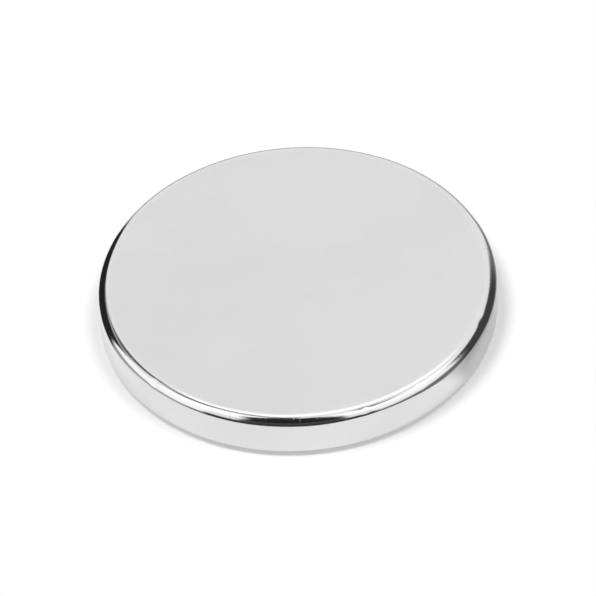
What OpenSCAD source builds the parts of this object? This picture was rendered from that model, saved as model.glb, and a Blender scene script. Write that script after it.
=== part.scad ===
// Disc magnet: one sintered rare-earth blank, ground flat on both pole faces,
// tumbled until its edges are round, then plated all over.
// It lies on one pole face. The origin is the middle of that face, and +Z runs
// along the axis that the disc is magnetised on.

/* [Disc] */
// Diameter over the plating
disc_d = 9; // [5:0.5:20]
// Thickness over the plating, from pole face to pole face
disc_t = 1.1; // [0.8:0.1:5]

/* [Edges] */
// Radius that tumbling and plating leave along both edges
edge_r = 0.25; // [0.05:0.05:0.35]

/* [Hidden] */
// Segments in a full turn
$fn = 96;

rim_r = disc_d / 2;
pole_face_r = rim_r - edge_r;

// One side of the disc, cut through its axis: a slab between the pole faces, a
// wider slab that ends in the straight rim, and an arc that joins them smoothly
// at each edge
module half_section() {
    square([pole_face_r, disc_t]);
    translate([0, edge_r])
        square([rim_r, disc_t - 2 * edge_r]);
    for (edge_z = [edge_r, disc_t - edge_r])
        translate([pole_face_r, edge_z])
            circle(r = edge_r);
}

module disc_magnet() {
    color([0.86, 0.86, 0.87])
        rotate_extrude()
            half_section();
}

disc_magnet();
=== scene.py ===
import math

import bpy
import numpy as np
from mathutils import Matrix, Vector


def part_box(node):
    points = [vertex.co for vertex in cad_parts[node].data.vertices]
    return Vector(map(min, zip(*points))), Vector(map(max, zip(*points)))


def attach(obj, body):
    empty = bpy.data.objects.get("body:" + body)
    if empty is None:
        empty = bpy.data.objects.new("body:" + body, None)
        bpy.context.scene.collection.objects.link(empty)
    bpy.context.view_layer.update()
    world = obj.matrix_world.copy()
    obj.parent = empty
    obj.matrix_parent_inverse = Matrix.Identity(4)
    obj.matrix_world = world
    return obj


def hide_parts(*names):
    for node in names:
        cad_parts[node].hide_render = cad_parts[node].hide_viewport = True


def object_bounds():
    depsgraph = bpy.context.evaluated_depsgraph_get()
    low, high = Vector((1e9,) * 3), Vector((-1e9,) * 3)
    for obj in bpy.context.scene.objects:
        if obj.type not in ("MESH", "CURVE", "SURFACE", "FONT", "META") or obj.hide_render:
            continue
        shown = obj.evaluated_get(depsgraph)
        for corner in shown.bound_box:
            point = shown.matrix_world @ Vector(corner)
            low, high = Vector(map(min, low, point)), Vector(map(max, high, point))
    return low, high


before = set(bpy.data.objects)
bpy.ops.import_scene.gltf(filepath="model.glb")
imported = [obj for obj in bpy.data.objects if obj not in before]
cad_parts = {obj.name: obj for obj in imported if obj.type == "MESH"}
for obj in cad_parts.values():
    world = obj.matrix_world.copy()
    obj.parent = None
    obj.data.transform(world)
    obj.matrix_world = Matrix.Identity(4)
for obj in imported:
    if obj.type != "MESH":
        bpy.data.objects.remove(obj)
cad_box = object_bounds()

scene = bpy.context.scene
scene.view_settings.view_transform = "Standard"


# ---------------------------------------------------------------- Camera
# A long lens looks down on the disc from in front, held a little off level,
# so that the disc's right-hand side stands a little higher than its left.

CAMERA_DISTANCE = 0.30
CAMERA_ELEVATION = math.radians(44.2)
CAMERA_ROLL = math.radians(4.1)
FIELD_WIDTH = 0.0134
NEAREST_SEEN = 0.01

disc_middle = (cad_box[0] + cad_box[1]) / 2
towards_camera = Vector((0, -math.cos(CAMERA_ELEVATION), math.sin(CAMERA_ELEVATION)))
camera_data = bpy.data.cameras.new("camera")
camera_data.lens = camera_data.sensor_width * CAMERA_DISTANCE / FIELD_WIDTH
camera_data.clip_start = NEAREST_SEEN
camera = bpy.data.objects.new("camera", camera_data)
camera.matrix_world = (
    Matrix.Translation(disc_middle + CAMERA_DISTANCE * towards_camera)
    @ towards_camera.to_track_quat("Z", "Y").to_matrix().to_4x4()
    @ Matrix.Rotation(-CAMERA_ROLL, 4, "Z")
)
scene.collection.objects.link(camera)
scene.camera = camera


# ---------------------------------------------------------------- Studio
# Bright plating shows little but its surroundings: a white tent, softboxes on
# each side and behind overhead, flags between and behind them, the dark gap in
# front where the camera stands, and the dim room below the table.

TENT_LIGHT = 1.0
TENT_LIGHT_ON_MATT = 0.05
LIGHT_FOR_THE_EYE = 1.0
# Light, azimuth from and to, elevation from and to, and the soft margin of the
# sides and of the ends. All angles are in degrees, and azimuth is 0 in front
# and 90 on the right. Each patch lies over those before it.
STUDIO_PATCHES = [
    # the dim room below the table, less dim on the left
    (0.20, -200, 200, -90, 4, 1, 6),
    (0.45, 246, 298, -90, 4, 6, 6),
    # softboxes behind overhead, on the left and on the right
    (1.42, 120, 240, 56, 84, 20, 8),
    (1.25, 246, 306, 8, 40, 4, 6),
    (1.40, 262, 324, 38, 72, 6, 8),
    (1.20, 36, 86, 16, 40, 6, 6),
    (1.40, 22, 98, 38, 58, 6, 8),
    (1.40, 22, 44, 54, 74, 6, 6),
    # small flags high up: one on the right, three on the left towards the back
    (0.35, 46, 72, 58, 76, 8, 6),
    (0.15, 208, 236, 40, 60, 8, 6),
    (0.25, 228, 262, 58, 77, 8, 6),
    (0.25, 236, 280, 76, 86, 8, 5),
    # a large black flag on the left towards the back
    (0.02, 200, 245.5, -90, 38, 4, 14),
    # a lighter part of the room behind on the right
    (0.40, 150, 200, -90, 4, 8, 6),
    # a large black flag with a grey border on the right towards the back
    (0.20, 88, 144, -90, 33, 12, 12),
    (0.06, 88, 136, -90, 33, 14, 12),
    # the lighter bottom of the room under that flag
    (0.70, 50, 166, -90, -32, 12, 14),
    (0.45, 104, 160, -90, -32, 16, 14),
    # the gap in front, from low down to nearly overhead
    (0.05, 307, 396, -90, 13, 5, 8),
    (0.05, 325, 380, 8, 24, 4, 12),
    (0.02, 325, 380, 22, 50, 5, 6),
    (0.02, 319, 377, 46, 58, 5, 5),
    (0.02, 314, 375, 56, 68, 5, 5),
    (0.02, 316, 373, 66, 76, 6, 4),
    (0.02, 300, 350, 76, 87, 6, 4),
]


def calculate(tree, operation, *values):
    """One Math node: the operation on up to three numbers or sockets."""
    node = tree.nodes.new("ShaderNodeMath")
    node.operation = operation
    for slot, value in enumerate(values):
        if isinstance(value, bpy.types.NodeSocket):
            tree.links.new(value, node.inputs[slot])
        else:
            node.inputs[slot].default_value = value
    return node.outputs[0]


def smooth_step(tree, value, start, end, start_value=0.0, end_value=1.0):
    """An S-shaped ramp from one number to another while the value crosses a span."""
    node = tree.nodes.new("ShaderNodeMapRange")
    node.interpolation_type = "SMOOTHSTEP"
    tree.links.new(value, node.inputs["Value"])
    node.inputs["From Min"].default_value = start
    node.inputs["From Max"].default_value = end
    node.inputs["To Min"].default_value = start_value
    node.inputs["To Max"].default_value = end_value
    return node.outputs["Result"]


def blend(tree, share, first, second):
    """A number that goes from the first to the second as the share goes from 0 to 1."""
    node = tree.nodes.new("ShaderNodeMix")
    for slot, value in (("Factor", share), ("A", first), ("B", second)):
        if isinstance(value, bpy.types.NodeSocket):
            tree.links.new(value, node.inputs[slot])
        else:
            node.inputs[slot].default_value = value
    return node.outputs["Result"]


def azimuth_of(tree, x, y):
    """Degrees turned from the front towards the right: the arctangent of x over -y."""
    return calculate(
        tree, "DEGREES", calculate(tree, "ARCTAN2", x, calculate(tree, "MULTIPLY", y, -1)))


def inside_span(tree, distance, half_span, margin):
    """1 within half a span of its middle and 0 beyond, with an S-shaped edge."""
    return smooth_step(tree, distance, half_span - margin / 2, half_span + margin / 2, 1, 0)


def inside_turn(tree, azimuth, left, right, margin):
    """1 between two azimuths and 0 outside them: the soft-edged span on the turn
    away from their middle, the shorter way round."""
    turn = calculate(tree, "SUBTRACT", azimuth, (left + right) / 2)
    across = calculate(tree, "ABSOLUTE", calculate(tree, "WRAP", turn, 180, -180))
    return inside_span(tree, across, (right - left) / 2, margin)


def studio_patch(tree, azimuth, elevation, left, right, low, high, side_margin, end_margin):
    """1 inside a soft-edged window of the sky and 0 outside it: one span on the
    turn away from its middle, times one on the height away from its middle."""
    up = calculate(tree, "ABSOLUTE", calculate(tree, "SUBTRACT", elevation, (low + high) / 2))
    return calculate(
        tree, "MULTIPLY",
        inside_turn(tree, azimuth, left, right, side_margin),
        inside_span(tree, up, (high - low) / 2, end_margin))


def studio_world():
    """Works out each direction's azimuth and elevation, then lays the patches of
    light over the tent in turn. The eye sees plain white, and matt things get
    an even light."""
    world = bpy.data.worlds.new("studio")
    world.use_nodes = True
    tree = world.node_tree
    direction = tree.nodes.new("ShaderNodeTexCoord").outputs["Generated"]
    parts = tree.nodes.new("ShaderNodeSeparateXYZ")
    tree.links.new(direction, parts.inputs[0])
    x, y, z = parts.outputs
    azimuth = azimuth_of(tree, x, y)
    elevation = calculate(tree, "DEGREES", calculate(tree, "ARCSINE", z))
    light = TENT_LIGHT
    for patch_light, *window in STUDIO_PATCHES:
        light = blend(tree, studio_patch(tree, azimuth, elevation, *window), light, patch_light)
    rays = tree.nodes.new("ShaderNodeLightPath").outputs
    from_matt = calculate(tree, "MINIMUM", rays["Diffuse Depth"], 1)
    light = blend(tree, from_matt, light, TENT_LIGHT_ON_MATT)
    light = blend(tree, rays["Is Camera Ray"], light, LIGHT_FOR_THE_EYE)
    tree.links.new(light, tree.nodes["Background"].inputs["Strength"])
    tree.nodes["Background"].inputs["Color"].default_value = (1, 1, 1, 1)
    return world


scene.world = studio_world()


# ---------------------------------------------------------------- Lamps
# Two broad lamps hang high on the left and the right, a little to the front.
# The left one is the stronger, so the disc's shade is deeper on the right. The
# plating shows the softboxes and not the lamps.

LAMP_SPREAD = math.radians(22)
# name, azimuth and elevation in degrees, strength
LAMPS = [
    ("left_lamp", 282, 73, 1.86),
    ("right_lamp", 67, 73, 1.26),
]

for lamp_name, lamp_azimuth, lamp_elevation, lamp_strength in LAMPS:
    light_data = bpy.data.lights.new(lamp_name, "SUN")
    light_data.energy = lamp_strength
    light_data.angle = LAMP_SPREAD
    lamp = bpy.data.objects.new(lamp_name, light_data)
    azimuth = math.radians(lamp_azimuth)
    elevation = math.radians(lamp_elevation)
    towards_lamp = Vector((
        math.sin(azimuth) * math.cos(elevation),
        -math.cos(azimuth) * math.cos(elevation),
        math.sin(elevation),
    ))
    lamp.rotation_euler = towards_lamp.to_track_quat("Z", "Y").to_euler()
    lamp.visible_glossy = False
    scene.collection.objects.link(lamp)


# ---------------------------------------------------------------- Floor
# A small matt white board under the disc, on a floor of the same white. In the
# plating the board ends 4 mm from the rim, but 1.5 mm from it on the left and
# just under it on the right, and the dim room shows beyond.

FLOOR_HALF_SIDE = 0.5
FLOOR_COLOUR = 0.62
FLOOR_LIFT = 0.38
BOARD_RADIUS = 8.5e-3
BOARD_RADIUS_ON_LEFT = 6.0e-3
BOARD_RADIUS_ON_RIGHT = 4.3e-3
BOARD_MARGIN = 0.8e-3
# azimuth from and to, and the soft margin, in degrees
BOARD_LEFT = (222, 285, 16)
BOARD_RIGHT = (43, 130, 32)


def board_material():
    """Matt white with some light of its own for the eye and for reflections.
    Reflections look past the board's edge, where the dim room begins."""
    material = bpy.data.materials.new("white_board")
    material.use_nodes = True
    tree = material.node_tree
    shader = tree.nodes["Principled BSDF"]
    shader.inputs["Base Color"].default_value = (FLOOR_COLOUR, FLOOR_COLOUR, FLOOR_COLOUR, 1)
    shader.inputs["Roughness"].default_value = 1.0
    shader.inputs["Specular IOR Level"].default_value = 0.0
    shader.inputs["Emission Color"].default_value = (1, 1, 1, 1)
    rays = tree.nodes.new("ShaderNodeLightPath").outputs
    seen = calculate(
        tree, "MAXIMUM", rays["Is Camera Ray"],
        calculate(tree, "MAXIMUM", rays["Is Glossy Ray"], rays["Is Transmission Ray"]))
    tree.links.new(
        calculate(tree, "MULTIPLY", seen, FLOOR_LIFT), shader.inputs["Emission Strength"])

    place = tree.nodes.new("ShaderNodeTexCoord").outputs["Object"]
    distance = tree.nodes.new("ShaderNodeVectorMath")
    distance.operation = "LENGTH"
    tree.links.new(place, distance.inputs[0])
    parts = tree.nodes.new("ShaderNodeSeparateXYZ")
    tree.links.new(place, parts.inputs[0])
    azimuth = azimuth_of(tree, parts.outputs["X"], parts.outputs["Y"])
    board_edge = blend(
        tree, inside_turn(tree, azimuth, *BOARD_LEFT), BOARD_RADIUS, BOARD_RADIUS_ON_LEFT)
    board_edge = blend(
        tree, inside_turn(tree, azimuth, *BOARD_RIGHT), board_edge, BOARD_RADIUS_ON_RIGHT)
    past_edge = calculate(tree, "SUBTRACT", distance.outputs["Value"], board_edge)
    beyond = smooth_step(tree, past_edge, 0, BOARD_MARGIN)
    room = tree.nodes.new("ShaderNodeBsdfTransparent")
    either = tree.nodes.new("ShaderNodeMixShader")
    tree.links.new(
        calculate(tree, "MULTIPLY", beyond, rays["Is Glossy Ray"]), either.inputs["Fac"])
    tree.links.new(shader.outputs["BSDF"], either.inputs[1])
    tree.links.new(room.outputs["BSDF"], either.inputs[2])
    tree.links.new(either.outputs["Shader"], tree.nodes["Material Output"].inputs["Surface"])
    return material


floor_corners = FLOOR_HALF_SIDE * np.array([[-1, -1, 0], [1, -1, 0], [1, 1, 0], [-1, 1, 0]])
floor_mesh = bpy.data.meshes.new("floor")
floor_mesh.from_pydata(floor_corners.tolist(), [], [(0, 1, 2, 3)])
floor_mesh.materials.append(board_material())
floor = bpy.data.objects.new("floor", floor_mesh)
scene.collection.objects.link(floor)


# ---------------------------------------------------------------- Disc magnet
# One sintered rare-earth blank with flat pole faces, tumbled until its edges
# are round and then plated with bright nickel. The tumbling leaves the rounding
# a little uneven, with a nick here and there along the edges.

low_corner, high_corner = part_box("disc_magnet")
# how far the finished rim stays inside the CAD's
RIM_CLEARANCE = 3e-6
RIM_RADIUS = (high_corner.x - low_corner.x) / 2 - RIM_CLEARANCE
RIM_SWING = 2e-6
THICKNESS = high_corner.z - low_corner.z
EDGE_RADIUS = 0.25e-3
EDGE_RADIUS_SWING = 0.012e-3
# the waves in each swing: lobes round the rim, and how far they are turned
EDGE_LOBES = [(2, 0.6), (3, 2.1), (5, 4.0), (9, 1.2), (16, 5.1)]
RIM_LOBES = [(2, 1.9), (3, 0.2), (7, 3.3)]
# degrees round the rim, with 0 on the right and -90 in front, which edge, width
# and depth
NICKS = [
    (-139, "upper", 0.055e-3, 0.010e-3),
    (-73, "upper", 0.050e-3, 0.008e-3),
    (-54, "upper", 0.080e-3, 0.006e-3),
    (-22, "upper", 0.120e-3, 0.010e-3),
    (64, "upper", 0.100e-3, 0.006e-3),
    (171, "lower", 0.090e-3, 0.008e-3),
]
NICK_INSET = EDGE_RADIUS / 3
STEPS_AROUND = 800
STEPS_OVER_FACE = 14
STEPS_ROUND_EDGE = 26
STEPS_UP_RIM = 8
# below 1, so the steps over a face grow finer towards its edge
FACE_STEP_POWER = 0.4


def closed_wave(angle, lobes):
    """A smooth wave round the rim, between -1 and 1: the sum of one cosine for
    each number of lobes, every one turned by its own angle, over its peak."""
    total = sum(np.cos(count * angle + turn) for count, turn in lobes)
    return total / np.abs(total).max()


def disc_grid():
    """A half section carried round the axis. The section is a flat core with a
    circle of the edge radius rolled round it: radius = share out of the core's
    reach + edge radius x sin(tilt), height = share up the core + edge radius x
    (1 - cos(tilt)), as the tilt goes from 0 under the lower face to a half turn
    on the upper face. Each nick then presses the surface in by a bell curve."""
    angle = np.linspace(0, 2 * np.pi, STEPS_AROUND, endpoint=False)[:, None]
    over_face = np.linspace(0, 1, STEPS_OVER_FACE + 1)[1:] ** FACE_STEP_POWER
    round_edge = np.linspace(0, 1, STEPS_ROUND_EDGE + 1)[1:]
    up_rim = np.linspace(0, 1, STEPS_UP_RIM + 1)[1:]
    share_out = np.concatenate([
        over_face, 1 + 0 * round_edge, 1 + 0 * up_rim, 1 + 0 * round_edge, over_face[-2::-1]])
    share_up = np.concatenate([
        0 * over_face, 0 * round_edge, up_rim, 1 + 0 * round_edge, 1 + 0 * over_face[1:]])
    tilt = np.pi / 2 * np.concatenate([
        0 * over_face, round_edge, 1 + 0 * up_rim, 1 + round_edge, 2 + 0 * over_face[1:]])

    edge_radius = EDGE_RADIUS + EDGE_RADIUS_SWING * closed_wave(angle, EDGE_LOBES)
    rim_radius = RIM_RADIUS - RIM_SWING * (1 + closed_wave(angle, RIM_LOBES)) / 2
    radius = share_out * (rim_radius - edge_radius) + edge_radius * np.sin(tilt)
    height = share_up * (THICKNESS - 2 * edge_radius) + edge_radius * (1 - np.cos(tilt))
    points = np.stack([radius * np.cos(angle), radius * np.sin(angle), height], axis=-1)
    across = np.sin(tilt) + 0 * angle
    outward = np.stack(
        [across * np.cos(angle), across * np.sin(angle), -np.cos(tilt) + 0 * angle], axis=-1)
    for degrees, edge, width, depth in NICKS:
        turn = math.radians(degrees)
        middle_height = THICKNESS - NICK_INSET if edge == "upper" else NICK_INSET
        middle_radius = RIM_RADIUS - NICK_INSET
        middle = np.array([
            middle_radius * math.cos(turn), middle_radius * math.sin(turn), middle_height])
        away = np.linalg.norm(points - middle, axis=-1, keepdims=True)
        points = points - depth * np.exp(-(away / width) ** 2 / 2) * outward
    return points


def closed_disc_mesh(points):
    """Quads between neighbouring points of the grid, which closes on itself round
    the axis, and a fan of triangles to one point in the middle of each face."""
    rounds, across = points.shape[:2]
    start = np.arange(rounds)[:, None] * across
    following = np.roll(start, -1, axis=0)
    step = np.arange(across - 1)[None, :]
    quads = np.stack(
        [start + step, following + step, following + step + 1, start + step + 1], axis=-1)
    lower_middle = rounds * across
    upper_middle = lower_middle + 1
    lower_fan = np.stack([0 * start + lower_middle, following, start], axis=-1)
    last = across - 1
    upper_fan = np.stack([0 * start + upper_middle, start + last, following + last], axis=-1)
    vertices = np.vstack([points.reshape(-1, 3), [[0, 0, 0], [0, 0, THICKNESS]]])
    mesh = bpy.data.meshes.new("disc_magnet_plated")
    mesh.from_pydata(
        vertices.tolist(), [],
        quads.reshape(-1, 4).tolist() + lower_fan.reshape(-1, 3).tolist()
        + upper_fan.reshape(-1, 3).tolist())
    mesh.shade_smooth()
    return mesh


PLATING_DULL = (0.716, 0.717, 0.724, 1)
PLATING_BRIGHT = (0.744, 0.744, 0.751, 1)
CLOUD_SCALE = 420
CLOUD_DETAIL = 3
CLOUD_RAMP = (0.35, 0.65)
FACE_ROUGHNESS = 0.42
RIM_ROUGHNESS = 0.09
# the satin face gives way to polish where the rounding of the edge begins
FACE_RADIUS = RIM_RADIUS - EDGE_RADIUS
SATIN_END = FACE_RADIUS - EDGE_RADIUS / 8
POLISH_START = FACE_RADIUS + EDGE_RADIUS / 6
FINE_DETAIL = 2
HAIRLINE_SCALE = 900
# stretch, turn about the axis in radians, and the ramp that picks out the crests
HAIRLINE_SETS = [
    ((1, 30, 1), 0.5, (0.66, 0.74)),
    ((30, 1, 1), 0.9, (0.67, 0.75)),
]
HAIRLINE_ROUGHNESS = 0.05
GRAIN_SCALE = 9000
GRAIN_ROUGHNESS = 0.10
NOISE_MIDDLE = 0.5
PEEL_SCALE = 3500
RELIEF_HEIGHT = 0.6e-6
HAIRLINE_RELIEF = -0.8


def noise(tree, place, scale, detail):
    """Noise of the given scale at a place."""
    node = tree.nodes.new("ShaderNodeTexNoise")
    node.inputs["Scale"].default_value = scale
    node.inputs["Detail"].default_value = detail
    tree.links.new(place, node.inputs["Vector"])
    return node.outputs["Fac"]


def stretched(tree, place, stretch, turn):
    """The place, multiplied along each axis and then turned about the disc's axis."""
    mapping = tree.nodes.new("ShaderNodeMapping")
    mapping.inputs["Rotation"].default_value = (0, 0, turn)
    mapping.inputs["Scale"].default_value = stretch
    tree.links.new(place, mapping.inputs["Vector"])
    return mapping.outputs["Vector"]


def distance_from_axis(tree, place):
    """The length of the place once its height is taken away."""
    flat_place = tree.nodes.new("ShaderNodeVectorMath")
    flat_place.operation = "MULTIPLY"
    flat_place.inputs[1].default_value = (1, 1, 0)
    tree.links.new(place, flat_place.inputs[0])
    length = tree.nodes.new("ShaderNodeVectorMath")
    length.operation = "LENGTH"
    tree.links.new(flat_place.outputs[0], length.inputs[0])
    return length.outputs["Value"]


def nickel_material():
    """Bright nickel: soft clouds in its colour, faces that are duller than the
    rim, hairlines from the tumbling and a trace of orange peel."""
    material = bpy.data.materials.new("bright_nickel")
    material.use_nodes = True
    tree = material.node_tree
    shader = tree.nodes["Principled BSDF"]
    shader.inputs["Metallic"].default_value = 1.0
    place = tree.nodes.new("ShaderNodeTexCoord").outputs["Object"]

    clouds = smooth_step(tree, noise(tree, place, CLOUD_SCALE, CLOUD_DETAIL), *CLOUD_RAMP)
    colour = tree.nodes.new("ShaderNodeMix")
    colour.data_type = "RGBA"
    tree.links.new(clouds, colour.inputs["Factor"])
    colour.inputs["A"].default_value = PLATING_DULL
    colour.inputs["B"].default_value = PLATING_BRIGHT
    tree.links.new(colour.outputs["Result"], shader.inputs["Base Color"])

    finish = smooth_step(
        tree, distance_from_axis(tree, place), SATIN_END, POLISH_START,
        FACE_ROUGHNESS, RIM_ROUGHNESS)
    hairlines = calculate(tree, "MAXIMUM", *[
        smooth_step(
            tree, noise(tree, stretched(tree, place, stretch, turn), HAIRLINE_SCALE, FINE_DETAIL),
            *ramp)
        for stretch, turn, ramp in HAIRLINE_SETS])
    grain = calculate(
        tree, "SUBTRACT", noise(tree, place, GRAIN_SCALE, FINE_DETAIL), NOISE_MIDDLE)
    roughness = calculate(tree, "MULTIPLY_ADD", grain, GRAIN_ROUGHNESS, finish)
    roughness = calculate(tree, "MULTIPLY_ADD", hairlines, HAIRLINE_ROUGHNESS, roughness)
    tree.links.new(roughness, shader.inputs["Roughness"])

    peel = noise(tree, place, PEEL_SCALE, FINE_DETAIL)
    relief = calculate(tree, "MULTIPLY_ADD", hairlines, HAIRLINE_RELIEF, peel)
    bump = tree.nodes.new("ShaderNodeBump")
    bump.inputs["Strength"].default_value = 1.0
    bump.inputs["Distance"].default_value = RELIEF_HEIGHT
    tree.links.new(relief, bump.inputs["Height"])
    tree.links.new(bump.outputs["Normal"], shader.inputs["Normal"])
    return material


disc_mesh = closed_disc_mesh(disc_grid())
disc_mesh.materials.append(nickel_material())
disc = bpy.data.objects.new("disc_magnet_plated", disc_mesh)
scene.collection.objects.link(disc)
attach(disc, "root")
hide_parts("disc_magnet")
